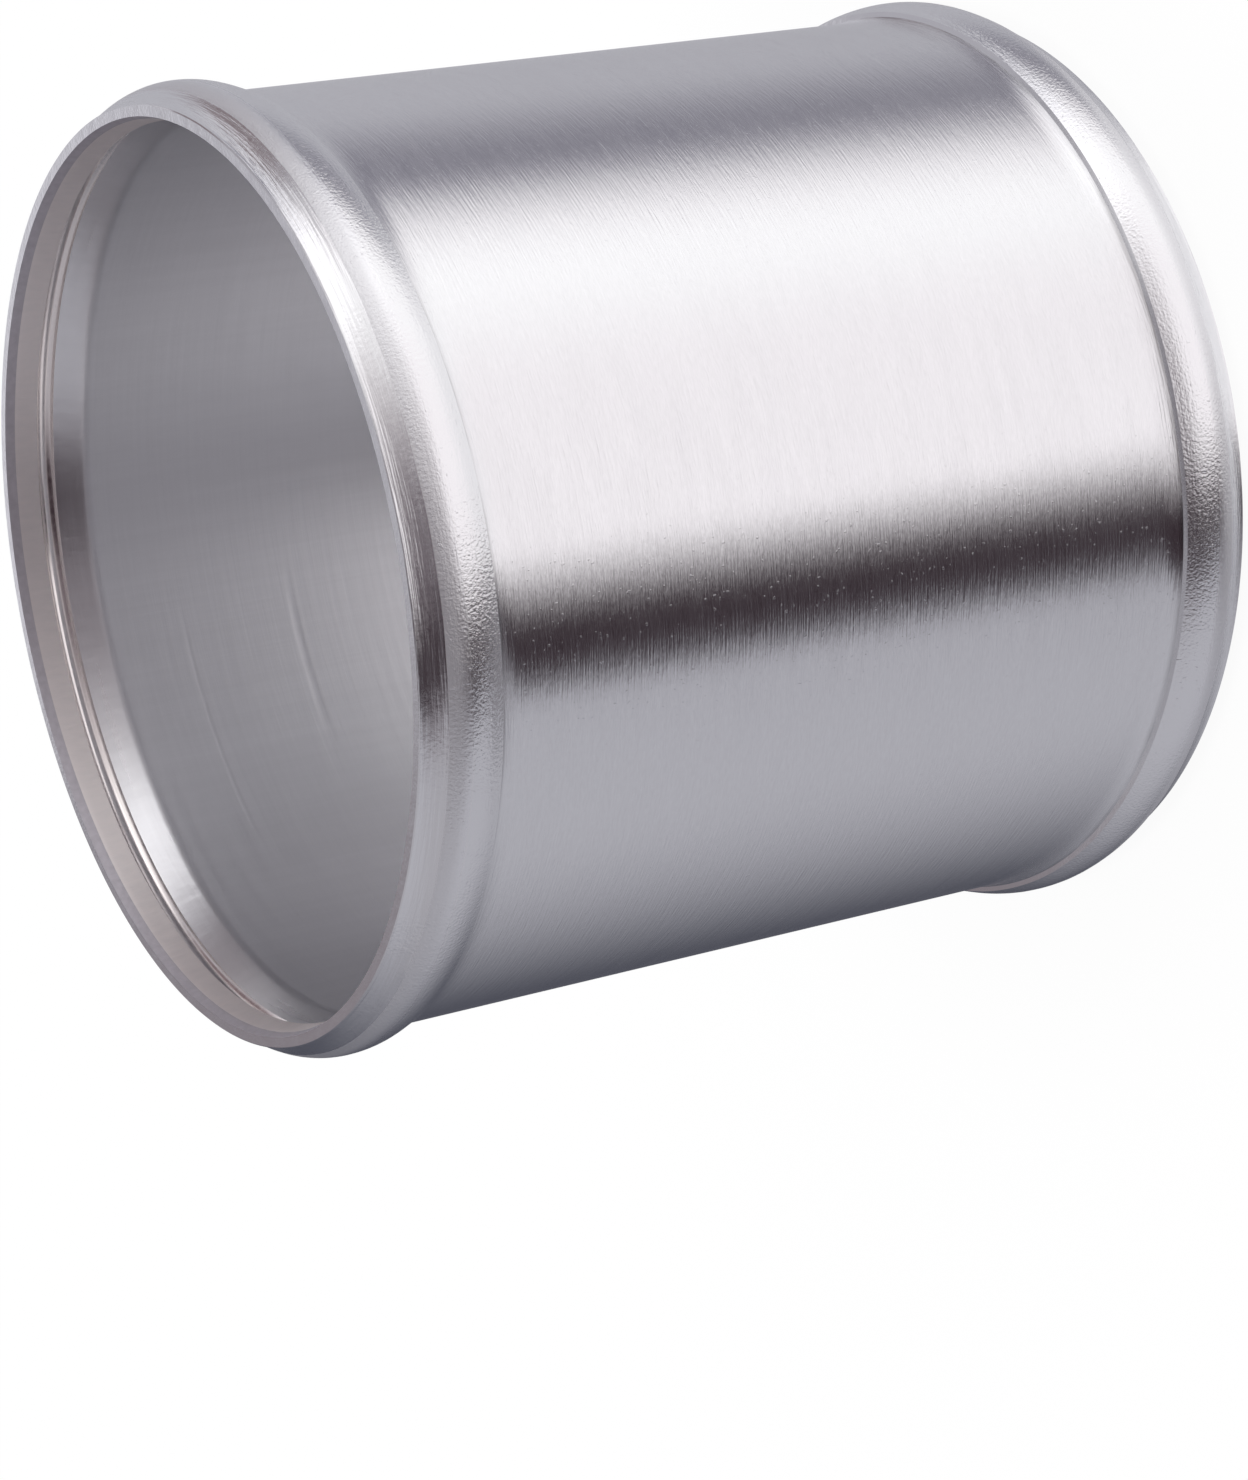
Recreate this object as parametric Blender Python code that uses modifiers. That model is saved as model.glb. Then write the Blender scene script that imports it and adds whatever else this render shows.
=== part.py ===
"""A straight aluminium joiner tube for a 102 mm bore hose, with a rolled bead at each end.

The tube is one turned wall. From each end face, its outside runs along a narrow hollow lip
to the crisp front edge of the bead, over the rounded crest and down a fillet to the plain
tube. Inside, a bevel and a flared land lead to the groove behind the bead, which has a crisp
corner on either side, and a sloping shoulder leads from the groove to the bore.
Units are metres. +Z runs along the tube, and the origin is the centre of its lower end face.
"""

from math import acos, asin, atan2, cos, hypot, pi, radians, sin, tan

import bpy

# The tube
TUBE_LENGTH = 0.1020
TUBE_OUTER_RADIUS = 0.0510
WALL = 0.0020

# The rolled bead, from its front edge towards the middle of the tube
BEAD_HEIGHT = 0.0018
BEAD_CREST_RADIUS = 0.0050
BEAD_FRONT_TO_CREST = 0.0027
BEAD_FILLET_RADIUS = 0.0045

# The lip between the end face and the bead
LIP_WIDTH = 0.0026
LIP_DROP = 0.0003
LIP_HOLLOW = 0.00025
LIP_CHAMFER = 0.0003

# The inside, from the end face towards the middle of the tube
BORE_BEVEL = 0.0006
BORE_BEVEL_DEPTH = 0.00105
LAND_FLARE = 0.0006
GROOVE_RADIUS = 0.0013
GROOVE_FRONT_ANGLE = radians(70)
GROOVE_BACK_ANGLE = radians(55)
SHOULDER_SLOPE = radians(20)
SHOULDER_BLEND_RADIUS = 0.0040

# The facets
STEPS_AROUND = 72
LIP_STEPS = 3
CREST_STEPS = 6
FILLET_STEPS = 3
GROOVE_STEPS = 6
BLEND_STEPS = 2
SHARP_ANGLE = radians(24)

# The finish
ALUMINIUM_COLOR = (0.79, 0.79, 0.81, 1.0)
ALUMINIUM_ROUGHNESS = 0.28


def arc(centre, radius, start, end, steps):
    """Points (r, z) on a circle from one angle to another, both included. Angle 0 points outwards."""
    points = []
    for step in range(steps + 1):
        angle = start + (end - start) * step / steps
        points.append((centre[0] + radius * cos(angle), centre[1] + radius * sin(angle)))
    return points


def hollow_arc(start, end, depth, steps):
    """Points (r, z) on the arc that sags inwards by a depth from the straight line between two points."""
    chord = hypot(end[0] - start[0], end[1] - start[1])
    radius = (chord**2 / 4 + depth**2) / (2 * depth)
    slope = atan2(end[0] - start[0], end[1] - start[1])
    to_centre = radius - depth
    centre = (
        (start[0] + end[0]) / 2 + to_centre * cos(slope),
        (start[1] + end[1]) / 2 - to_centre * sin(slope),
    )
    middle = pi - slope
    half = asin(chord / 2 / radius)
    return arc(centre, radius, middle + half, middle - half, steps)


def bead_centre():
    """(r, z) of the point that the crest is turned about."""
    return (
        TUBE_OUTER_RADIUS + BEAD_HEIGHT - BEAD_CREST_RADIUS,
        LIP_WIDTH + BEAD_FRONT_TO_CREST,
    )


def flank_angle():
    """The angle at which the crest passes into the fillet."""
    rise = BEAD_CREST_RADIUS + BEAD_FILLET_RADIUS
    return acos((rise - BEAD_HEIGHT) / rise)


def fillet_centre():
    """(r, z) of the point that the fillet is turned about, outside the tube."""
    rise = BEAD_CREST_RADIUS + BEAD_FILLET_RADIUS
    centre_r, centre_z = bead_centre()
    return centre_r + rise * cos(flank_angle()), centre_z + rise * sin(flank_angle())


def outside():
    """Points (r, height over the end face) of the wall's outside, from the end face to the plain tube."""
    lip_radius = TUBE_OUTER_RADIUS - LIP_DROP
    front = -asin(BEAD_FRONT_TO_CREST / BEAD_CREST_RADIUS)
    crest = arc(bead_centre(), BEAD_CREST_RADIUS, front, flank_angle(), CREST_STEPS)
    lip = hollow_arc((lip_radius, LIP_CHAMFER), crest[0], LIP_HOLLOW, LIP_STEPS)
    fillet = arc(fillet_centre(), BEAD_FILLET_RADIUS, pi + flank_angle(), pi, FILLET_STEPS)
    return [(lip_radius - LIP_CHAMFER, 0.0)] + lip + crest[1:] + fillet[1:]


def groove():
    """Points (r, z) on the round bottom of the groove, which lies under the crest at the full wall."""
    centre = (
        TUBE_OUTER_RADIUS + BEAD_HEIGHT - WALL - GROOVE_RADIUS,
        LIP_WIDTH + BEAD_FRONT_TO_CREST,
    )
    return arc(centre, GROOVE_RADIUS, -GROOVE_FRONT_ANGLE, GROOVE_BACK_ANGLE, GROOVE_STEPS)


def inside():
    """Points (r, height over the end face) of the wall's inside, from the end face to the plain bore."""
    land_radius = TUBE_OUTER_RADIUS - LIP_DROP - WALL
    bottom = groove()
    land_end = land_radius + LAND_FLARE
    land_end_z = bottom[0][1] - (bottom[0][0] - land_end) / tan(GROOVE_FRONT_ANGLE)
    land = [(land_radius + BORE_BEVEL, 0.0), (land_radius, BORE_BEVEL_DEPTH), (land_end, land_end_z)]

    bore_radius = TUBE_OUTER_RADIUS - WALL
    blend_start = bore_radius + SHOULDER_BLEND_RADIUS * (1 - cos(SHOULDER_SLOPE))
    slope_end = bottom[-1][1] + (bottom[-1][0] - blend_start) / tan(SHOULDER_SLOPE)
    blend_centre = (
        bore_radius + SHOULDER_BLEND_RADIUS,
        slope_end + SHOULDER_BLEND_RADIUS * sin(SHOULDER_SLOPE),
    )
    blend = arc(blend_centre, SHOULDER_BLEND_RADIUS, pi + SHOULDER_SLOPE, pi, BLEND_STEPS)
    return land + bottom + blend


def wall_profile():
    """The closed outline (r, z) of the wall: down its outside, and back up its inside."""
    outer, inner = outside(), inside()
    down = [(r, TUBE_LENGTH - s) for r, s in outer] + outer[::-1]
    up = inner + [(r, TUBE_LENGTH - s) for r, s in inner[::-1]]
    return down + up


def aluminium():
    material = bpy.data.materials.new("satin_aluminium")
    material.use_nodes = True
    shader = material.node_tree.nodes["Principled BSDF"]
    shader.inputs["Base Color"].default_value = ALUMINIUM_COLOR
    shader.inputs["Metallic"].default_value = 1.0
    shader.inputs["Roughness"].default_value = ALUMINIUM_ROUGHNESS
    return material


def joiner_tube(collection):
    """Turns the wall's outline round the tube's axis."""
    profile = wall_profile()
    count = len(profile)
    outline = bpy.data.meshes.new("wall_outline")
    outline.from_pydata(
        [(r, 0.0, z) for r, z in profile], [(i, (i + 1) % count) for i in range(count)], []
    )
    tube = bpy.data.objects.new("joiner_tube", outline)
    collection.objects.link(tube)
    turn = tube.modifiers.new("Turn", "SCREW")
    turn.axis = "Z"
    turn.angle = 2 * pi
    turn.steps = turn.render_steps = STEPS_AROUND
    turn.use_merge_vertices = True
    turn.merge_threshold = 0.00001
    bpy.context.view_layer.update()
    turned = tube.evaluated_get(bpy.context.evaluated_depsgraph_get())
    tube.data = bpy.data.meshes.new_from_object(turned)
    tube.modifiers.clear()
    tube.data.name = "joiner_tube"
    tube.data.shade_smooth()
    tube.data.set_sharp_from_angle(angle=SHARP_ANGLE)
    tube.data.materials.append(aluminium())
    bpy.data.meshes.remove(outline)
    return tube


def main():
    for obj in list(bpy.data.objects):
        bpy.data.objects.remove(obj, do_unlink=True)
    collection = bpy.data.collections.new("Hose joiner")
    bpy.context.scene.collection.children.link(collection)
    joiner_tube(collection)


main()
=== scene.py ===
"""A satin aluminium hose joiner tube with rolled beads, standing on its end in a white studio."""

from collections import namedtuple
from math import asin, atan2, cos, degrees, hypot, pi, radians, sin, tan

import bmesh
import bpy
from mathutils import Matrix, Vector, noise


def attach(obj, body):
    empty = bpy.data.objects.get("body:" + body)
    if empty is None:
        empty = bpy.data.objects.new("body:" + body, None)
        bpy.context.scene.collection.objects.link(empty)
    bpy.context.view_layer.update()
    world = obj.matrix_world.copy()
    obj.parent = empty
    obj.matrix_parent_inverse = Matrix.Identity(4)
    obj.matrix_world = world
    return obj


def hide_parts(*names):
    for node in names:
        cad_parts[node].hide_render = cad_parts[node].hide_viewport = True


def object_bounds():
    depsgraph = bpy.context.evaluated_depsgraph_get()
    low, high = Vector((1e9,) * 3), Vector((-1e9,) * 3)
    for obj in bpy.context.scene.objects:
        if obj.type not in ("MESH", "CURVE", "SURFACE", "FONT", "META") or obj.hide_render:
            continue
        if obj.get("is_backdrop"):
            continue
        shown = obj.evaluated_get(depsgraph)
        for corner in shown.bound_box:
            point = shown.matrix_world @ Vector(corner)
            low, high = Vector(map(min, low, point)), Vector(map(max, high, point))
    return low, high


bl_info = {
    "name": "Beaded hose joiner",
    "version": (1, 0, 0),
    "blender": (4, 5, 0),
    "location": "3D View > Sidebar > Hose joiner",
    "description": "Makes an aluminium hose joiner tube with rolled beads, and a studio to show it in",
    "category": "Object",
}

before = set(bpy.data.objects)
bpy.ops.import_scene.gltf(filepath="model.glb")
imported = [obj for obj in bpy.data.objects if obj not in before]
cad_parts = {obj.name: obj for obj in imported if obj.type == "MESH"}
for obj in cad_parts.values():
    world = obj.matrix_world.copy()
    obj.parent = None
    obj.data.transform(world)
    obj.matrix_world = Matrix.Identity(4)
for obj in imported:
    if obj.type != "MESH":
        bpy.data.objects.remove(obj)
CAD_LOW, CAD_HIGH = (Vector(corner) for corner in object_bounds())
MILLIMETRE = 0.001


# Properties

class TubeSizes(bpy.types.PropertyGroup):
    length: bpy.props.FloatProperty(
        name="Length", description="End face to end face",
        default=CAD_HIGH.z - CAD_LOW.z, unit="LENGTH", precision=4)
    bead_radius: bpy.props.FloatProperty(
        name="Bead radius", description="Outside radius over the crest of a bead",
        default=(CAD_HIGH.x - CAD_LOW.x) / 2, unit="LENGTH", precision=4)
    bead_height: bpy.props.FloatProperty(
        name="Bead height", description="How far a bead stands proud of the tube",
        default=0.0018, unit="LENGTH", precision=4)
    wall: bpy.props.FloatProperty(
        name="Wall", description="Thickness of the tube's wall",
        default=0.0020, unit="LENGTH", precision=4)
    crest_radius: bpy.props.FloatProperty(
        name="Crest radius", description="Radius of the bead's rounded crest in section",
        default=0.0050, unit="LENGTH", precision=4)
    front_to_crest: bpy.props.FloatProperty(
        name="Front to crest", description="From the bead's crisp front edge to its crest",
        default=0.0027, unit="LENGTH", precision=4)
    back_radius: bpy.props.FloatProperty(
        name="Back radius", description="Radius of the crest's back half in section",
        default=0.0070, unit="LENGTH", precision=4)
    flank_slope: bpy.props.FloatProperty(
        name="Flank slope", description="Slope of the straight flank behind the crest",
        default=radians(22), subtype="ANGLE")
    bead_end: bpy.props.FloatProperty(
        name="Bead end", description="From the end face to the crisp edge where the flank ends",
        default=0.0087, unit="LENGTH", precision=4)
    step_width: bpy.props.FloatProperty(
        name="Step width", description="Width along the tube of the steep step under that edge",
        default=0.00015, unit="LENGTH", precision=5)
    fillet_radius: bpy.props.FloatProperty(
        name="Fillet radius", description="Radius of the hollow between the step and the plain tube",
        default=0.0070, unit="LENGTH", precision=4)
    fillet_end: bpy.props.FloatProperty(
        name="Fillet end", description="From the end face to where the plain tube begins",
        default=0.0112, unit="LENGTH", precision=4)
    lip_width: bpy.props.FloatProperty(
        name="Lip width", description="From the end face to the bead's front edge",
        default=0.0026, unit="LENGTH", precision=4)
    lip_drop: bpy.props.FloatProperty(
        name="Lip drop", description="How far the lip lies under the plain tube's outside",
        default=0.0003, unit="LENGTH", precision=5)
    lip_hollow: bpy.props.FloatProperty(
        name="Lip hollow", description="How far the lip's outside sags in section",
        default=0.00014, unit="LENGTH", precision=5)
    lip_chamfer: bpy.props.FloatProperty(
        name="Lip chamfer", description="Worn edge on the outside of the end face",
        default=0.00012, unit="LENGTH", precision=5)
    bore_bevel: bpy.props.FloatProperty(
        name="Bore bevel", description="How far the bevel on the inside of the end face cuts into the wall",
        default=0.00035, unit="LENGTH", precision=5)
    bore_bevel_depth: bpy.props.FloatProperty(
        name="Bore bevel depth", description="How far the same bevel reaches along the tube",
        default=0.00105, unit="LENGTH", precision=5)
    land_thinning: bpy.props.FloatProperty(
        name="Land thinning", description="How much thinner the wall is where the land meets the bevel",
        default=0.00042, unit="LENGTH", precision=5)
    land_taper: bpy.props.FloatProperty(
        name="Land taper", description="How much the land inside the lip narrows towards the groove",
        default=0.0004, unit="LENGTH", precision=5)
    groove_radius: bpy.props.FloatProperty(
        name="Groove radius", description="Radius of the groove behind the bead in section",
        default=0.0013, unit="LENGTH", precision=4)
    groove_front_angle: bpy.props.FloatProperty(
        name="Groove front angle", description="Slope of the groove's front wall",
        default=radians(70), subtype="ANGLE")
    groove_back_angle: bpy.props.FloatProperty(
        name="Groove back angle", description="Slope of the groove's back wall at its crisp corner",
        default=radians(55), subtype="ANGLE")
    shoulder_slope: bpy.props.FloatProperty(
        name="Shoulder slope", description="Slope of the shoulder between the groove and the bore",
        default=radians(20), subtype="ANGLE")
    shoulder_blend: bpy.props.FloatProperty(
        name="Shoulder blend", description="Radius between the shoulder and the bore",
        default=0.0040, unit="LENGTH", precision=4)
    steps_around: bpy.props.IntProperty(
        name="Steps around", description="Faces round the tube", default=600, min=24)


class TubeFinish(bpy.types.PropertyGroup):
    metal: bpy.props.FloatVectorProperty(
        name="Metal", description="Colour of the brushed aluminium",
        subtype="COLOR", size=4, default=(0.86, 0.86, 0.875, 1.0))
    land: bpy.props.FloatVectorProperty(
        name="Land", description="Colour of the scuffed metal inside the lip",
        subtype="COLOR", size=4, default=(0.95, 0.895, 0.875, 1.0))
    bevel: bpy.props.FloatVectorProperty(
        name="Bevel", description="Colour of the filed bevel inside the end face",
        subtype="COLOR", size=4, default=(0.68, 0.65, 0.69, 1.0))
    bore: bpy.props.FloatVectorProperty(
        name="Bore", description="Colour of the drawn inside of the tube",
        subtype="COLOR", size=4, default=(0.82, 0.82, 0.84, 1.0))
    roll_depth: bpy.props.FloatProperty(
        name="Roll depth", description="How unevenly the roller pressed the bead",
        default=0.00003, unit="LENGTH", precision=5)
    edge_wander: bpy.props.FloatProperty(
        name="Edge wander", description="How far the bead's front edge wanders along the tube",
        default=0.00009, unit="LENGTH", precision=5)
    scratch_depth: bpy.props.FloatProperty(
        name="Scratch depth", description="Depth of the two scratches in the bore, as a share of their width",
        default=0.06, subtype="FACTOR")


class StudioLook(bpy.types.PropertyGroup):
    elevation: bpy.props.FloatProperty(
        name="Elevation", description="Height of the camera over the horizon",
        default=radians(29.52), subtype="ANGLE")
    roll: bpy.props.FloatProperty(
        name="Roll", description="How far the picture is turned anticlockwise",
        default=radians(99.85), subtype="ANGLE")
    distance: bpy.props.FloatProperty(
        name="Distance", description="From the camera to the middle of the tube",
        default=0.464, unit="LENGTH")
    lens: bpy.props.FloatProperty(
        name="Lens", description="Focal length in millimetres", default=99.97)
    aim: bpy.props.FloatVectorProperty(
        name="Aim", description="Where the middle of the tube lies in the picture, in its pixels",
        size=2, default=(601.3, 511.7))
    floor: bpy.props.FloatVectorProperty(
        name="Floor", description="Colour of the floor",
        subtype="COLOR", size=4, default=(0.9, 0.9, 0.9, 1.0))
    sun_strength: bpy.props.FloatProperty(
        name="Sun strength", description="Strength of the soft light from above", default=2.2)
    sun_spread: bpy.props.FloatProperty(
        name="Sun spread", description="Angle over which that light is spread",
        default=radians(40), subtype="ANGLE")
    surroundings_low: bpy.props.FloatVectorProperty(
        name="Surroundings", description="Colour of the studio round the tube, up to the horizon",
        subtype="COLOR", size=4, default=(0.482, 0.478, 0.517, 1.0))
    surroundings_high: bpy.props.FloatVectorProperty(
        name="Surroundings above", description="Colour of the studio over the horizon",
        subtype="COLOR", size=4, default=(0.43, 0.42, 0.45, 1.0))


# The section of the wall

def arc(centre, radius, start, end, steps):
    """Points (r, z) on a circle from one angle to another, both included. Angle 0 points outwards."""
    points = []
    for step in range(steps + 1):
        angle = start + (end - start) * step / steps
        points.append((centre[0] + radius * cos(angle), centre[1] + radius * sin(angle)))
    return points


def hollow_arc(start, end, depth, steps):
    """Points (r, z) on the arc that sags inwards by a depth from the straight line between two points."""
    chord = hypot(end[0] - start[0], end[1] - start[1])
    radius = (chord**2 / 4 + depth**2) / (2 * depth)
    slope = atan2(end[0] - start[0], end[1] - start[1])
    to_centre = radius - depth
    centre = (
        (start[0] + end[0]) / 2 + to_centre * cos(slope),
        (start[1] + end[1]) / 2 - to_centre * sin(slope),
    )
    half = asin(chord / 2 / radius)
    return arc(centre, radius, pi - slope + half, pi - slope - half, steps)


def straight(start, end, steps):
    """Points (r, z) on a straight line, without its first point."""
    return [
        tuple(a + (b - a) * step / steps for a, b in zip(start, end))
        for step in range(1, steps + 1)
    ]


# Rows of faces along each part of the section
CHAMFER_STEPS = 1
LIP_STEPS = 12
CREST_STEPS = 8
BACK_STEPS = 6
FLANK_STEPS = 3
FILLET_STEPS = 8
BEVEL_STEPS = 2
LAND_STEPS = 4
GROOVE_STEPS = 12
SLOPE_STEPS = 3
BLEND_STEPS = 5
MIDDLE_STEPS = 4

# From the end face to the plain tube's first row behind the fillet
BODY_START = 0.0120

# Scratches in the bore: height, width, and the azimuths in degrees that they run between
SCRATCHES = ((0.0680, 0.0009, -181, -152), (0.0824, 0.0004, -178, -137))

# From a scratch to the rows that hold the bore flat on either side of it
SUPPORT = 0.0003
SCRATCH_FADE_DEGREES = 9


def outside_section(sizes):
    """Points (r, distance from the end face) of the wall's outside, from the end face to the plain tube.

    They run over the worn edge, the hollow lip, the crest and its straight flank, down the steep step
    and along the hollow fillet.
    """
    tube_radius = sizes.bead_radius - sizes.bead_height
    crest_place = sizes.lip_width + sizes.front_to_crest
    lip_radius = tube_radius - sizes.lip_drop
    front = -asin(sizes.front_to_crest / sizes.crest_radius)

    face_edge = (lip_radius - sizes.lip_chamfer, 0.0)
    lip_start = (lip_radius, sizes.lip_chamfer)
    crest_centre = (sizes.bead_radius - sizes.crest_radius, crest_place)
    crest = arc(crest_centre, sizes.crest_radius, front, 0.0, CREST_STEPS)
    back_centre = (sizes.bead_radius - sizes.back_radius, crest_place)
    back = arc(back_centre, sizes.back_radius, 0.0, sizes.flank_slope, BACK_STEPS)
    flank_drop = (sizes.bead_end - back[-1][1]) * tan(sizes.flank_slope)
    flank = straight(back[-1], (back[-1][0] - flank_drop, sizes.bead_end), FLANK_STEPS)
    foot = asin((sizes.fillet_end - sizes.bead_end - sizes.step_width) / sizes.fillet_radius)
    fillet_centre = (tube_radius + sizes.fillet_radius, sizes.fillet_end)
    fillet = arc(fillet_centre, sizes.fillet_radius, pi + foot, pi, FILLET_STEPS)

    outline = [face_edge] + straight(face_edge, lip_start, CHAMFER_STEPS)
    outline += hollow_arc(lip_start, crest[0], sizes.lip_hollow, LIP_STEPS)[1:]
    return outline + crest[1:] + back[1:] + flank + fillet


def inside_section(sizes):
    """Points (r, distance from the end face) of the wall's inside, from the end face to the plain bore."""
    tube_radius = sizes.bead_radius - sizes.bead_height
    land_radius = tube_radius - sizes.lip_drop - sizes.wall + sizes.land_thinning
    bore_radius = tube_radius - sizes.wall
    centre = (
        sizes.bead_radius - sizes.wall - sizes.groove_radius,
        sizes.lip_width + sizes.front_to_crest,
    )
    groove = arc(
        centre, sizes.groove_radius, -sizes.groove_front_angle, sizes.groove_back_angle, GROOVE_STEPS)
    land_end = land_radius - sizes.land_taper
    front_wall = (groove[0][0] - land_end) / tan(sizes.groove_front_angle)
    face_edge = (land_radius + sizes.bore_bevel, 0.0)
    land_start = (land_radius, sizes.bore_bevel_depth)
    outline = [face_edge] + straight(face_edge, land_start, BEVEL_STEPS)
    outline += straight(land_start, (land_end, groove[0][1] - front_wall), LAND_STEPS)
    outline += groove

    blend_start = bore_radius + sizes.shoulder_blend * (1 - cos(sizes.shoulder_slope))
    slope_length = (groove[-1][0] - blend_start) / tan(sizes.shoulder_slope)
    slope_end = (blend_start, groove[-1][1] + slope_length)
    blend_centre = (
        bore_radius + sizes.shoulder_blend,
        slope_end[1] + sizes.shoulder_blend * sin(sizes.shoulder_slope),
    )
    outline += straight(groove[-1], slope_end, SLOPE_STEPS)
    return outline + arc(blend_centre, sizes.shoulder_blend, pi + sizes.shoulder_slope, pi, BLEND_STEPS)[1:]


def wall_section(sizes):
    """The closed outline (r, z) of the whole wall: down its outside and back up its inside."""
    outside, inside = outside_section(sizes), inside_section(sizes)
    outside.append((outside[-1][0], BODY_START))
    top_outside = [(r, sizes.length - s) for r, s in outside]
    top_inside = [(r, sizes.length - s) for r, s in inside]
    bore_radius = inside[-1][0]
    bore = [
        (bore_radius, height + offset)
        for height, width, _, _ in SCRATCHES
        for offset in (-width / 2 - SUPPORT, -width / 2, 0.0, width / 2, width / 2 + SUPPORT)
    ]
    down = top_outside + straight(top_outside[-1], outside[-1], MIDDLE_STEPS)[:-1] + outside[::-1]
    up = inside + bore + top_inside[::-1]
    return down + up


# The tube

# The zones, in the order of their materials
BODY, BEAD, LIP, RIM, BEVEL, LAND, BORE = range(7)
SHARP_ANGLE = radians(16)
MERGE_DISTANCE = 0.000001
END_FACE_NORMAL = 0.95


def spin_wall(sizes):
    """The wall's outline turned round Z, as a closed bmesh."""
    mesh = bmesh.new()
    verts = [mesh.verts.new((0.0, -r, z)) for r, z in wall_section(sizes)]
    edges = [mesh.edges.new((verts[i - 1], verts[i])) for i in range(len(verts))]
    bmesh.ops.spin(
        mesh, geom=verts + edges, cent=(0, 0, 0), axis=(0, 0, 1), angle=2 * pi,
        steps=sizes.steps_around, use_merge=True, use_duplicate=False)
    bmesh.ops.remove_doubles(mesh, verts=mesh.verts, dist=MERGE_DISTANCE)
    bmesh.ops.recalc_face_normals(mesh, faces=mesh.faces)
    return mesh


def zone_faces(mesh, sizes):
    """Gives each face the finish of its zone, by its distance from the nearer end and the way it faces."""
    groove_end = inside_section(sizes)[BEVEL_STEPS + LAND_STEPS + GROOVE_STEPS + 1][1]
    for face in mesh.faces:
        spot = face.calc_center_median()
        from_end = min(spot.z, sizes.length - spot.z)
        outwards = face.normal.xy.dot(spot.xy) > 0
        if abs(face.normal.z) > END_FACE_NORMAL:
            face.material_index = RIM
        elif outwards:
            zones = ((sizes.lip_width, LIP), (sizes.bead_end, BEAD))
            face.material_index = next((zone for end, zone in zones if from_end < end), BODY)
        else:
            zones = ((sizes.bore_bevel_depth, BEVEL), (groove_end, LAND))
            face.material_index = next((zone for end, zone in zones if from_end < end), BORE)
        face.smooth = True


def rise_and_fall(value, start, end, soft):
    """1 between two limits and 0 outside them, with soft ends."""
    share = min((value - start) / soft, (end - value) / soft)
    return max(0.0, min(1.0, share))


# Lengths over which the rolled surface varies
DENT_LENGTH = 1.6 * MILLIMETRE
WAVE_LENGTH = 7 * MILLIMETRE
ROW_WIDTH = 0.45 * MILLIMETRE
ROW_STRETCH = 20
WANDER_LENGTH = 5 * MILLIMETRE
ROLL_FADE = 0.3 * MILLIMETRE
EDGE_REACH = 0.0006


def from_0_to_1(place):
    """A smooth noise at a place, brought from -1..1 to 0..1."""
    return 0.5 + 0.5 * noise.noise(place)


def roll_marks(mesh, sizes, finish):
    """Presses the rolled bead and lip in unevenly, and never outwards, and lets the bead's edge wander."""
    for vert in mesh.verts:
        radius = vert.co.xy.length
        from_top = sizes.length - vert.co.z
        from_end = min(vert.co.z, from_top)
        if from_end > sizes.bead_end + sizes.step_width / 2 or not vert.normal.xy.dot(vert.co.xy) > 0:
            continue
        share = rise_and_fall(from_end, sizes.lip_chamfer, sizes.bead_end + MILLIMETRE, ROLL_FADE)
        dents, waves = from_0_to_1(vert.co / DENT_LENGTH), from_0_to_1(vert.co / WAVE_LENGTH)
        press = share * finish.roll_depth * (0.5 * dents + waves)
        if from_end < sizes.lip_width:
            row = Vector((vert.co.x / ROW_STRETCH, vert.co.y / ROW_STRETCH, from_end)) / ROW_WIDTH
            press += share * finish.roll_depth * from_0_to_1(row)
        vert.co.xy *= 1 - press / radius
        near_edge = rise_and_fall(
            from_end, sizes.lip_width - EDGE_REACH, sizes.lip_width + EDGE_REACH, EDGE_REACH)
        shift = finish.edge_wander * near_edge * noise.noise(
            Vector((vert.co.x, vert.co.y, 0.0)) / WANDER_LENGTH)
        vert.co.z += shift if from_top < vert.co.z else -shift


def scratch_bore(mesh, sizes, depth):
    """Presses fine scratches, which run part of the way round, into the bore."""
    bore_radius = sizes.bead_radius - sizes.bead_height - sizes.wall
    for height, width, start, end in SCRATCHES:
        for vert in mesh.verts:
            radius = vert.co.xy.length
            if abs(vert.co.z - height) > SUPPORT / 4 or radius > bore_radius + SUPPORT:
                continue
            azimuth = degrees(atan2(vert.co.x, -vert.co.y))
            azimuth -= 360 if azimuth > 0 else 0
            share = rise_and_fall(azimuth, start, end, SCRATCH_FADE_DEGREES)
            vert.co.xy *= 1 + depth * width * share / radius


# Node building

def add(tree, kind, inputs=None, **settings):
    """Adds a node, sets its properties, and fills or links its inputs, by name or by number."""
    made = tree.nodes.new(kind)
    made.location.x = 180 * len(tree.nodes)
    for name, value in settings.items():
        setattr(made, name, value)
    for name, value in (inputs or {}).items():
        socket = made.inputs[name]
        if isinstance(value, bpy.types.NodeSocket):
            tree.links.new(value, socket)
        else:
            socket.default_value = value
    return made


def maths(tree, operation, *values):
    """A Math node's output."""
    return add(tree, "ShaderNodeMath", dict(enumerate(values)), operation=operation).outputs[0]


def start_group(name, inputs, outputs):
    """A new shader node group with these float inputs and outputs: (tree, group input, group output)."""
    tree = bpy.data.node_groups.new(name, "ShaderNodeTree")
    for socket, default in inputs.items():
        made = tree.interface.new_socket(socket, in_out="INPUT", socket_type="NodeSocketFloat")
        made.default_value = default
    for socket in outputs:
        tree.interface.new_socket(socket, in_out="OUTPUT", socket_type="NodeSocketFloat")
    return tree, tree.nodes.new("NodeGroupInput"), tree.nodes.new("NodeGroupOutput")


def use_group(tree, name, inputs=None):
    """Places a node group in a material, with its own values."""
    made = add(tree, "ShaderNodeGroup", node_tree=bpy.data.node_groups[name])
    for socket, value in (inputs or {}).items():
        made.inputs[socket].default_value = value
    return made


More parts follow.
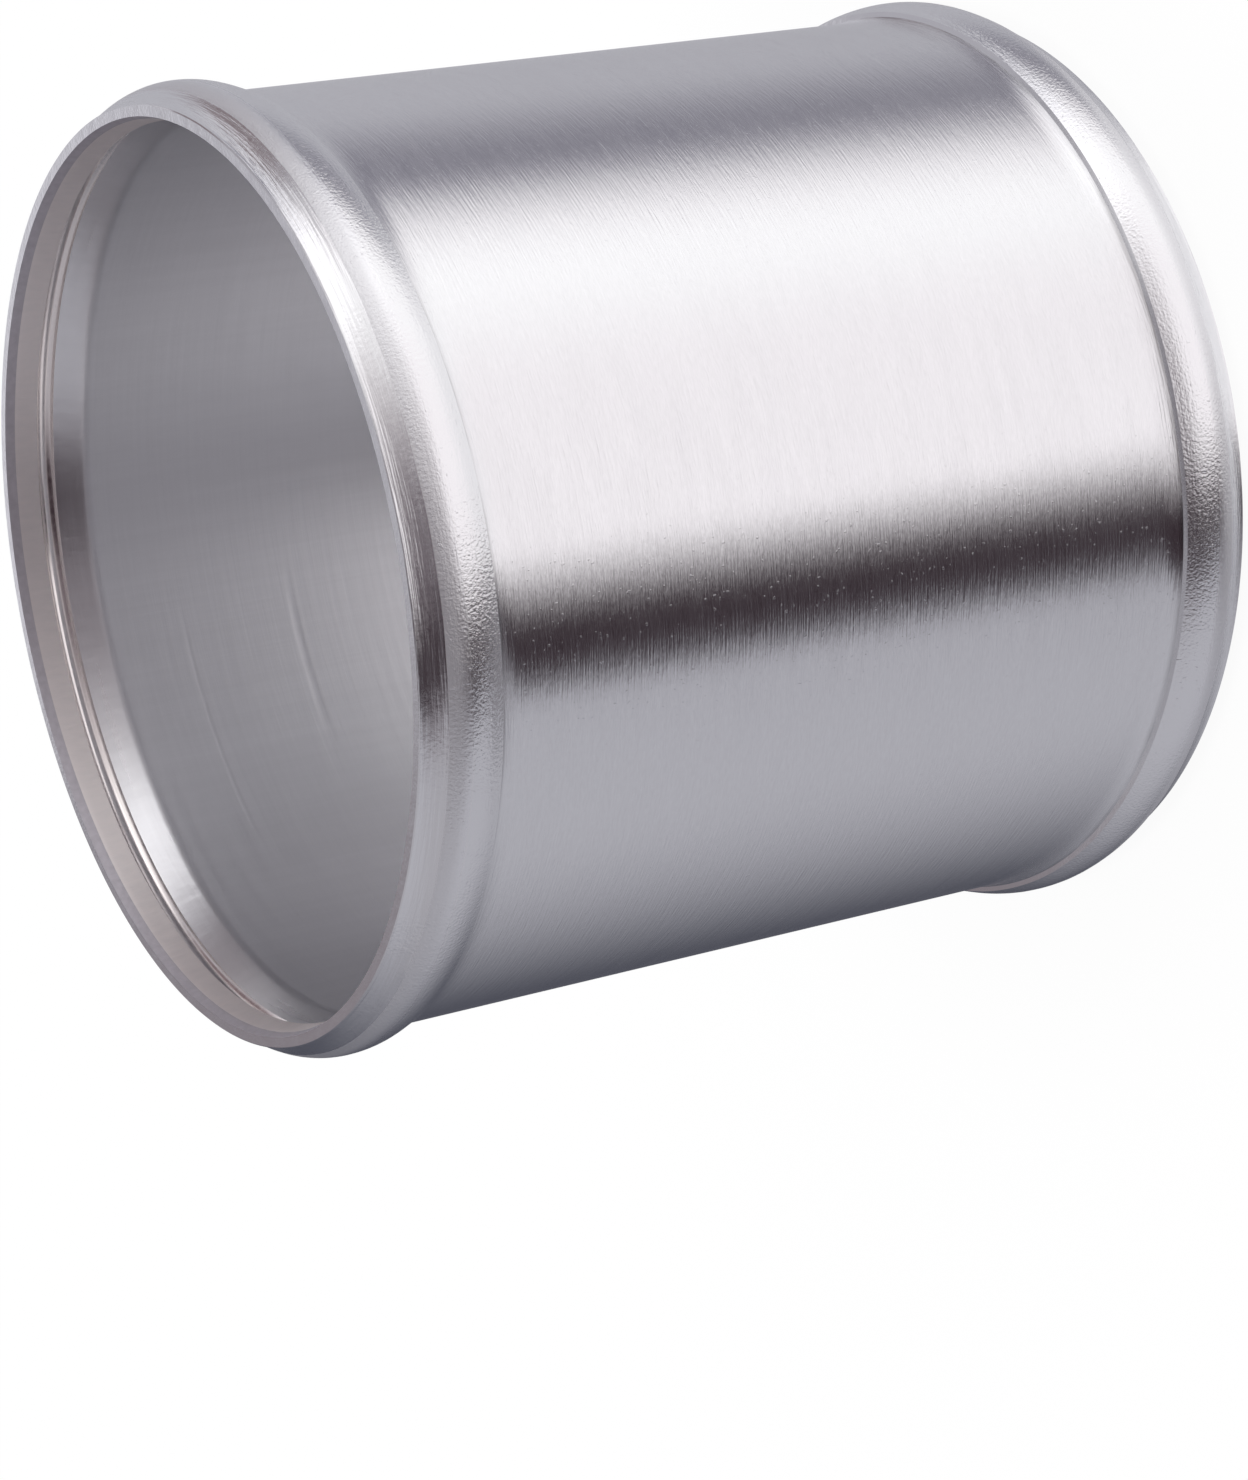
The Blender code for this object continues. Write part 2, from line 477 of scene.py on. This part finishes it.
def marks_group():
    """Fine marks that run round the tube. Length and Width are those of one mark, in millimetres."""
    tree, given, result = start_group(
        "round_the_tube_marks", {"Length": 2.0, "Width": 0.15, "Detail": 2.0}, ["Marks"])
    place = add(tree, "ShaderNodeTexCoord")
    split = add(tree, "ShaderNodeSeparateXYZ", {0: place.outputs["Object"]})
    along = maths(tree, "MULTIPLY", given.outputs["Length"], MILLIMETRE)
    across = maths(tree, "MULTIPLY", given.outputs["Width"], MILLIMETRE)
    stretched = add(tree, "ShaderNodeCombineXYZ", {
        0: maths(tree, "DIVIDE", split.outputs[0], along),
        1: maths(tree, "DIVIDE", split.outputs[1], along),
        2: maths(tree, "DIVIDE", split.outputs[2], across),
    })
    marks = add(tree, "ShaderNodeTexNoise", {
        "Vector": stretched.outputs[0], "Scale": 1.0, "Detail": given.outputs["Detail"],
        "Roughness": 0.5,
    })
    tree.links.new(marks.outputs[0], result.inputs["Marks"])


def skin_group():
    """The uneven skin that rolling and cutting leave. Size is that of one dimple, in millimetres."""
    tree, given, result = start_group("uneven_skin", {"Size": 0.6, "Detail": 1.5}, ["Skin"])
    place = add(tree, "ShaderNodeTexCoord")
    scale = maths(tree, "DIVIDE", 1.0 / MILLIMETRE, given.outputs["Size"])
    skin = add(tree, "ShaderNodeTexNoise", {
        "Vector": place.outputs["Object"], "Scale": scale, "Detail": given.outputs["Detail"],
        "Roughness": 0.5,
    })
    tree.links.new(skin.outputs[0], result.inputs["Skin"])


def pits_group():
    """Sparse small pits: 1 in a pit and 0 beside it. Size is in millimetres, and Share from 0, none, to 1."""
    tree, given, result = start_group("sparse_pits", {"Size": 0.5, "Share": 0.3}, ["Pits"])
    place = add(tree, "ShaderNodeTexCoord")
    scale = maths(tree, "DIVIDE", 1.0 / MILLIMETRE, given.outputs["Size"])
    skin = add(tree, "ShaderNodeTexNoise", {
        "Vector": place.outputs["Object"], "Scale": scale, "Detail": 0.0,
    })
    # The noise hardly passes 0.8, so a share of 0 leaves no pits
    level = maths(tree, "MULTIPLY_ADD", given.outputs["Share"], -0.3, 0.8)
    pits = add(tree, "ShaderNodeMapRange", {
        "Value": skin.outputs[0], "From Min": level, "From Max": maths(tree, "ADD", level, 0.06),
    }, interpolation_type="SMOOTHSTEP")
    tree.links.new(pits.outputs[0], result.inputs["Pits"])


def from_end_group(sizes):
    """Distance from the nearer end face, in millimetres."""
    tree, _, result = start_group("place_along_the_tube", {}, ["From End"])
    place = add(tree, "ShaderNodeTexCoord")
    height = add(tree, "ShaderNodeSeparateXYZ", {0: place.outputs["Object"]}).outputs[2]
    other = maths(tree, "SUBTRACT", sizes.length, height)
    nearer = maths(tree, "DIVIDE", maths(tree, "MINIMUM", height, other), MILLIMETRE)
    tree.links.new(nearer, result.inputs["From End"])


# Finishes

# A quarter turn, which spreads the highlights across the marks
ACROSS_THE_MARKS = 0.25


def start_material(name, metal, anisotropic):
    """A metal whose highlights spread along the tube, as marks that run round it make them."""
    material = bpy.data.materials.new(name)
    material.use_nodes = True
    tree = material.node_tree
    shader = tree.nodes["Principled BSDF"]
    shader.inputs["Base Color"].default_value = metal
    shader.inputs["Metallic"].default_value = 1.0
    shader.inputs["Anisotropic"].default_value = anisotropic
    shader.inputs["Anisotropic Rotation"].default_value = ACROSS_THE_MARKS
    tangent = add(tree, "ShaderNodeTangent", direction_type="RADIAL", axis="Z")
    tree.links.new(tangent.outputs[0], shader.inputs["Tangent"])
    return material, tree, shader


def bump(tree, height, depth, normal=None):
    """A Bump node's output, with the depth in metres."""
    inputs = {"Height": height, "Strength": 1.0, "Distance": depth}
    if normal is not None:
        inputs["Normal"] = normal
    return add(tree, "ShaderNodeBump", inputs).outputs[0]


def spread(tree, value, low, high):
    """A noise value, most of which lies between 0.3 and 0.7, spread between two levels."""
    return add(tree, "ShaderNodeMapRange", {
        "Value": value, "From Min": 0.3, "From Max": 0.7, "To Min": low, "To Max": high,
    }).outputs[0]


def tint(tree, shader, colour, shade):
    """Makes a shader's base colour one that a varying shade darkens."""
    shaded = add(tree, "ShaderNodeVectorMath", {0: colour[:3], "Scale": shade}, operation="SCALE")
    tree.links.new(shaded.outputs[0], shader.inputs["Base Color"])


def along_the_tube(tree, start, end):
    """0 up to one distance from the nearer end face and 1 from another on, in millimetres."""
    place = use_group(tree, "place_along_the_tube")
    return add(tree, "ShaderNodeMapRange", {
        "Value": place.outputs[0], "From Min": start, "From Max": end,
    }, interpolation_type="SMOOTHSTEP").outputs[0]


# Distances from the end face, in millimetres, over which a finish changes
# Over the first of these, the painted shade at the bead's foot fades out
PAINTED_SHADE_FADE = (8.9, 9.5)
BEAD_FRONT = (3.4, 5.2)
GROOVE_EDGE = (3.7, 3.9)
SHOULDER_END = (9.4, 10.8)


def brushed_body(finish):
    """The plain tube: streaks, a few pits, a slow change of polish and painted shade in the hollow at the
    bead's foot.
    """
    material, tree, shader = start_material("brushed_body", finish.metal, 0.95)
    streaks = use_group(tree, "round_the_tube_marks", {"Length": 4.5, "Width": 0.23, "Detail": 2.5})
    grain = use_group(tree, "round_the_tube_marks", {"Length": 0.8, "Width": 0.15, "Detail": 1.0})
    polish = use_group(tree, "round_the_tube_marks", {"Length": 9.0, "Width": 1.5, "Detail": 2.0})
    pits = use_group(tree, "sparse_pits", {"Size": 0.38, "Share": 0.1})
    normal = bump(tree, streaks.outputs[0], 0.000048)
    normal = bump(tree, grain.outputs[0], 0.000010, normal)
    normal = bump(tree, pits.outputs[0], 0.000006, normal)
    tree.links.new(normal, shader.inputs["Normal"])
    tree.links.new(spread(tree, polish.outputs[0], 0.19, 0.23), shader.inputs["Roughness"])
    streaked = spread(tree, streaks.outputs[0], 0.985, 1.0)
    worn = maths(tree, "MULTIPLY", streaked, spread(tree, grain.outputs[0], 0.96, 1.0))
    # Painted shade: the metal's colour darkens towards the bead's foot, to between 0.55 and 1 of itself, and
    # this fades out over the distances above
    painted_shade_level = spread(tree, polish.outputs[0], 0.55, 1.0)
    unshaded_share = along_the_tube(tree, *PAINTED_SHADE_FADE)
    painted_crease_shade = maths(tree, "MULTIPLY_ADD", unshaded_share, maths(tree, "SUBTRACT", 1.0, painted_shade_level), painted_shade_level)
    tint(tree, shader, finish.metal, maths(tree, "MULTIPLY", worn, painted_crease_shade))
    return material


def rolled_bead(finish):
    """The bead: matt where the roller's edge ran, and a finely dented skin over the crest."""
    material, tree, shader = start_material("rolled_bead", finish.metal, 0.5)
    dents = use_group(tree, "round_the_tube_marks", {"Length": 0.3, "Width": 0.32, "Detail": 2.0})
    drawn = use_group(tree, "round_the_tube_marks", {"Length": 2.5, "Width": 0.25, "Detail": 2.0})
    pits = use_group(tree, "sparse_pits", {"Size": 0.5, "Share": 0.2})
    normal = bump(tree, dents.outputs[0], 0.00005)
    normal = bump(tree, drawn.outputs[0], 0.00003, normal)
    normal = bump(tree, pits.outputs[0], 0.000012, normal)
    tree.links.new(normal, shader.inputs["Normal"])
    crest = along_the_tube(tree, *BEAD_FRONT)
    matt_front = maths(tree, "MULTIPLY_ADD", crest, -0.27, 0.48)
    rough = maths(tree, "MULTIPLY_ADD", drawn.outputs[0], 0.06, matt_front)
    tree.links.new(rough, shader.inputs["Roughness"])
    return material


def hollow_lip(finish):
    """The lip: close ridges round the tube, crossed by scuffs in some places."""
    material, tree, shader = start_material("hollow_lip", finish.metal, 0.6)
    ridges = use_group(tree, "round_the_tube_marks", {"Length": 7.0, "Width": 0.26, "Detail": 3.0})
    scuffs = use_group(tree, "uneven_skin", {"Size": 0.5, "Detail": 2.0})
    places = use_group(tree, "uneven_skin", {"Size": 10.0, "Detail": 1.0})
    share = add(tree, "ShaderNodeMapRange", {
        "Value": places.outputs[0], "From Min": 0.5, "From Max": 0.65, "To Min": 0.25, "To Max": 1.0,
    }).outputs[0]
    normal = bump(tree, ridges.outputs[0], 0.00008)
    normal = bump(tree, maths(tree, "MULTIPLY", scuffs.outputs[0], share), 0.00005, normal)
    tree.links.new(normal, shader.inputs["Normal"])
    tree.links.new(spread(tree, ridges.outputs[0], 0.19, 0.27), shader.inputs["Roughness"])
    return material


def cut_rim(finish):
    """The cut end face, slightly wavy."""
    material, tree, shader = start_material("cut_rim", finish.metal, 0.3)
    waves = use_group(tree, "uneven_skin", {"Size": 2.5, "Detail": 2.0})
    grain = use_group(tree, "uneven_skin", {"Size": 0.4, "Detail": 1.0})
    normal = bump(tree, waves.outputs[0], 0.000025)
    normal = bump(tree, grain.outputs[0], 0.00001, normal)
    tree.links.new(normal, shader.inputs["Normal"])
    tree.links.new(spread(tree, waves.outputs[0], 0.12, 0.2), shader.inputs["Roughness"])
    return material


def filed_bevel(finish):
    """The bevel inside the end face, which a file left matt."""
    material, tree, shader = start_material("filed_bevel", finish.bevel, 0.0)
    shader.inputs["Roughness"].default_value = 0.6
    strokes = use_group(tree, "uneven_skin", {"Size": 0.8, "Detail": 2.0})
    tree.links.new(bump(tree, strokes.outputs[0], 0.00004), shader.inputs["Normal"])
    tint(tree, shader, finish.bevel, spread(tree, strokes.outputs[0], 0.9, 1.0))
    return material


def scuffed_land(finish):
    """The land inside the lip, matt and warm with scuffs, and the brighter groove behind it."""
    material, tree, shader = start_material("scuffed_land", finish.land, 0.4)
    scuffs = use_group(tree, "round_the_tube_marks", {"Length": 0.7, "Width": 2.5, "Detail": 2.0})
    groove = along_the_tube(tree, *GROOVE_EDGE)
    height = maths(tree, "MULTIPLY", scuffs.outputs[0], maths(tree, "SUBTRACT", 1.0, groove))
    tree.links.new(bump(tree, height, 0.00003), shader.inputs["Normal"])
    rough = maths(tree, "MULTIPLY_ADD", groove, -0.36, spread(tree, scuffs.outputs[0], 0.50, 0.60))
    tree.links.new(rough, shader.inputs["Roughness"])
    tint(tree, shader, finish.land, spread(tree, scuffs.outputs[0], 0.96, 1.0))
    return material


def drawn_bore(finish):
    """The bright shoulder and the duller bore, with faint rings round it and lines along it."""
    material, tree, shader = start_material("drawn_bore", finish.bore, 0.3)
    rings = use_group(tree, "round_the_tube_marks", {"Length": 25.0, "Width": 1.0, "Detail": 3.0})
    lines = use_group(tree, "round_the_tube_marks", {"Length": 1.6, "Width": 60.0, "Detail": 3.0})
    normal = bump(tree, rings.outputs[0], 0.00002)
    normal = bump(tree, lines.outputs[0], 0.00003, normal)
    tree.links.new(normal, shader.inputs["Normal"])
    drawn = along_the_tube(tree, *SHOULDER_END)
    rough = maths(tree, "MULTIPLY_ADD", drawn, 0.14, spread(tree, rings.outputs[0], 0.27, 0.31))
    tree.links.new(rough, shader.inputs["Roughness"])
    tint(tree, shader, finish.bore, spread(tree, lines.outputs[0], 0.97, 1.0))
    return material


# The studio

Card = namedtuple("Card", "name left right low high soft level")

# What the metal mirrors, in degrees of azimuth from the camera's side and of height, with the width of
# the soft edge inside each limit (left, right, low, high). A later card covers the ones before it.
CARDS = (
    Card("softbox", -32, 100, -130, 66, (12, 30, 10, 18), (1.08, 1.04, 1.06)),
    Card("softbox middle", 30, 84, -130, 74, (34, 20, 10, 18), (1.15, 1.145, 1.15)),
    Card("dark side", -186, -78, -70, 42, (25, 80, 36, 30), (0.075, 0.078, 0.10)),
    Card("shade over the camera", -58, 74, -15, 80, (24, 74, 36, 20), (0.17, 0.145, 0.16)),
    Card("strip by the softbox", 39, 90, -13, 24, (22, 16, 9, 9), (1.48, 1.46, 1.48)),
    Card("flag", -43, -4, -90, 66, (8, 22, 36, 12), (0.038, 0.026, 0.032)),
    Card("side flag", 84, 124, -60, 14, (12, 22, 20, 20), (0.22, 0.213, 0.255)),
    Card("brown flag", 86, 152, 0, 28, (20, 25, 7, 8), (0.19, 0.145, 0.155)),
    Card("strip light", 62, 142, -9, 9, (10, 52, 6, 7), (1.12, 1.11, 1.15)),
    Card("sheet below", -20, 195, -130, -49, (25, 20, 10, 14), (0.93, 0.92, 0.94)),
    Card("shadow below", -96, -25, -130, -48, (30, 12, 10, 14), (0.17, 0.16, 0.175)),
    Card("sheet under the far side", -205, -96, -130, -72, (15, 20, 10, 8), (0.93, 0.92, 0.94)),
    Card("wall behind", 134, 184, 6, 24.5, (12, 4, 6, 3), (0.78, 0.77, 0.82)),
    Card("ceiling behind", 120, 182, 23.5, 60, (20, 4, 4, 15), (0.44, 0.43, 0.47)),
    Card("shade behind", 180, 220, 8, 60, (8, 15, 8, 15), (0.24, 0.212, 0.23)),
)
WHITE = (1.0, 1.0, 1.0, 1.0)

# The height in degrees at which the colour above the horizon is reached
HIGH_START = 25.0


def soft_step(tree, value, start, end):
    """0 up to one value and 1 from another on, with a smooth rise between them."""
    return add(tree, "ShaderNodeMapRange", {
        "Value": value, "From Min": start, "From Max": end,
    }, interpolation_type="SMOOTHSTEP").outputs[0]


def card_mask(tree, azimuth, height, card):
    """1 on a card and 0 beside it. The azimuth is counted from the card's middle, so it may lie anywhere."""
    middle, half = (card.left + card.right) / 2, (card.right - card.left) / 2
    away = maths(tree, "WRAP", maths(tree, "SUBTRACT", azimuth, middle), 180.0, -180.0)
    back, down = (maths(tree, "MULTIPLY", way, -1.0) for way in (away, height))
    sides = (
        soft_step(tree, away, -half, -half + card.soft[0]),
        soft_step(tree, back, -half, -half + card.soft[1]),
        soft_step(tree, height, card.low, card.low + card.soft[2]),
        soft_step(tree, down, -card.high, -card.high + card.soft[3]),
    )
    across = maths(tree, "MULTIPLY", sides[0], sides[1])
    return maths(tree, "MULTIPLY", across, maths(tree, "MULTIPLY", sides[2], sides[3]))


def blend(tree, share, first, second):
    """A mix of two colours."""
    return add(tree, "ShaderNodeMixRGB", {0: share, 1: first, 2: second}).outputs[0]


def studio_surroundings(look):
    """What the metal mirrors: grey all round, with soft lights and flags. The camera sees white."""
    world = bpy.data.worlds.new("studio")
    bpy.context.scene.world = world
    world.use_nodes = True
    tree = world.node_tree
    tree.nodes.clear()
    place = add(tree, "ShaderNodeTexCoord")
    way = add(tree, "ShaderNodeSeparateXYZ", {0: place.outputs["Generated"]})
    turned = maths(tree, "ARCTAN2", way.outputs[0], maths(tree, "MULTIPLY", way.outputs[1], -1.0))
    azimuth = maths(tree, "DEGREES", turned)
    height = maths(tree, "DEGREES", maths(tree, "ARCSINE", way.outputs[2]))
    above = soft_step(tree, height, 0.0, HIGH_START)
    mirrored = blend(tree, above, look.surroundings_low, look.surroundings_high)
    for card in CARDS:
        mirrored = blend(tree, card_mask(tree, azimuth, height, card), mirrored, (*card.level, 1.0))
    path = add(tree, "ShaderNodeLightPath")
    ground = maths(tree, "MAXIMUM", path.outputs["Is Camera Ray"], path.outputs["Is Transmission Ray"])
    seen = blend(tree, ground, mirrored, WHITE)
    background = add(tree, "ShaderNodeBackground", {"Color": seen, "Strength": 1.0})
    output = add(tree, "ShaderNodeOutputWorld")
    tree.links.new(background.outputs[0], output.inputs["Surface"])


# The share of the floor's look that is plain white; the rest takes light and shadow
GLOW = 0.94
FLOOR_REACH = 4.0


def floor_finish(look):
    """White to the camera, with a small matt share that takes the tube's shadow."""
    material = bpy.data.materials.new("white_floor")
    material.use_nodes = True
    tree = material.node_tree
    tree.nodes.clear()
    path = add(tree, "ShaderNodeLightPath")
    matt = add(tree, "ShaderNodeBsdfDiffuse", {"Color": look.floor})
    glow = add(tree, "ShaderNodeEmission", {"Color": WHITE, "Strength": 1.0})
    seen = maths(tree, "MAXIMUM", path.outputs["Is Camera Ray"], maths(
        tree, "MAXIMUM", path.outputs["Is Glossy Ray"], path.outputs["Is Transmission Ray"]))
    share = maths(tree, "MULTIPLY", seen, GLOW)
    mixed = add(tree, "ShaderNodeMixShader", {0: share, 1: matt.outputs[0], 2: glow.outputs[0]})
    output = add(tree, "ShaderNodeOutputMaterial")
    tree.links.new(mixed.outputs[0], output.inputs["Surface"])
    return material


def lay_floor(look):
    """Lays the floor under the tube, hidden from what the metal mirrors."""
    mesh = bmesh.new()
    bmesh.ops.create_grid(mesh, x_segments=1, y_segments=1, size=FLOOR_REACH)
    data = bpy.data.meshes.new("floor")
    mesh.to_mesh(data)
    mesh.free()
    data.materials.append(floor_finish(look))
    floor = bpy.data.objects.new("floor", data)
    floor.location.z = CAD_LOW.z
    floor.visible_glossy = False
    bpy.context.scene.collection.objects.link(floor)
    floor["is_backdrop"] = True


def hang_sun(look):
    """A wide soft light from above, which whitens the floor round the tube's shadow."""
    lamp = bpy.data.lights.new("overhead", "SUN")
    lamp.angle = look.sun_spread
    lamp.energy = look.sun_strength
    made = bpy.data.objects.new("overhead", lamp)
    made.visible_glossy = False
    bpy.context.scene.collection.objects.link(made)


# The picture in pixels, the sensor's width in millimetres and the camera's reach in metres
PICTURE = (1248, 1480)
SENSOR = 36.0
CLIP = (0.01, 20.0)


def set_camera(look):
    """Stands the camera off the middle of the tube, turns it and aims it."""
    middle = (CAD_LOW + CAD_HIGH) / 2
    back = Vector((0.0, -cos(look.elevation), sin(look.elevation)))
    right = Vector((1.0, 0.0, 0.0))
    axes = Matrix((right, back.cross(right), back))
    turned = Matrix.Rotation(look.roll, 3, "Z") @ axes
    focal = look.lens / SENSOR * max(PICTURE)
    offset = Vector((look.aim[0] - PICTURE[0] / 2, PICTURE[1] / 2 - look.aim[1], -focal))
    aimed = Vector((0.0, 0.0, -1.0)).rotation_difference(offset).to_matrix() @ turned
    data = bpy.data.cameras.new("camera")
    data.lens = look.lens
    data.sensor_width = SENSOR
    data.clip_start, data.clip_end = CLIP
    camera = bpy.data.objects.new("camera", data)
    camera.matrix_world = Matrix.Translation(middle + look.distance * back) @ aimed.transposed().to_4x4()
    bpy.context.scene.collection.objects.link(camera)
    bpy.context.scene.camera = camera


# Operators

class JOINER_OT_tube(bpy.types.Operator):
    """Make the beaded tube with its brushed outside, cut rims and drawn bore"""

    bl_idname = "joiner.tube"
    bl_label = "Beaded tube"

    def execute(self, context):
        sizes, finish = context.scene.joiner_sizes, context.scene.joiner_finish
        mesh = spin_wall(sizes)
        zone_faces(mesh, sizes)
        roll_marks(mesh, sizes, finish)
        scratch_bore(mesh, sizes, finish.scratch_depth)
        data = bpy.data.meshes.new("beaded_tube")
        mesh.to_mesh(data)
        mesh.free()
        data.set_sharp_from_angle(angle=SHARP_ANGLE)
        marks_group()
        skin_group()
        pits_group()
        from_end_group(sizes)
        zones = (brushed_body, rolled_bead, hollow_lip, cut_rim, filed_bevel, scuffed_land, drawn_bore)
        for make in zones:
            data.materials.append(make(finish))
        tube = bpy.data.objects.new("beaded_tube", data)
        context.scene.collection.objects.link(tube)
        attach(tube, "root")
        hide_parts("joiner_tube")
        return {"FINISHED"}


class JOINER_OT_studio(bpy.types.Operator):
    """Lay the white floor and set the soft light and the camera"""

    bl_idname = "joiner.studio"
    bl_label = "Studio"

    def execute(self, context):
        look = context.scene.joiner_studio
        context.scene.view_settings.view_transform = "Standard"
        studio_surroundings(look)
        lay_floor(look)
        hang_sun(look)
        set_camera(look)
        return {"FINISHED"}


class JOINER_PT_panel(bpy.types.Panel):
    """The joiner's settings and buttons"""

    bl_idname = "JOINER_PT_panel"
    bl_label = "Hose joiner"
    bl_space_type = "VIEW_3D"
    bl_region_type = "UI"
    bl_category = "Hose joiner"

    def draw(self, context):
        for group in (context.scene.joiner_sizes, context.scene.joiner_finish, context.scene.joiner_studio):
            for name in group.__annotations__:
                self.layout.prop(group, name)
        self.layout.operator("joiner.tube")
        self.layout.operator("joiner.studio")


CLASSES = (TubeSizes, TubeFinish, StudioLook, JOINER_OT_tube, JOINER_OT_studio, JOINER_PT_panel)


def register():
    """Registers the classes and adds the settings to the scene."""
    for made in CLASSES:
        bpy.utils.register_class(made)
    bpy.types.Scene.joiner_sizes = bpy.props.PointerProperty(type=TubeSizes)
    bpy.types.Scene.joiner_finish = bpy.props.PointerProperty(type=TubeFinish)
    bpy.types.Scene.joiner_studio = bpy.props.PointerProperty(type=StudioLook)


def unregister():
    """Takes the settings and the classes away again."""
    del bpy.types.Scene.joiner_studio
    del bpy.types.Scene.joiner_finish
    del bpy.types.Scene.joiner_sizes
    for made in reversed(CLASSES):
        bpy.utils.unregister_class(made)


def main():
    """Makes the tube and its studio."""
    register()
    bpy.ops.joiner.tube()
    bpy.ops.joiner.studio()


if __name__ == "__main__":
    main()
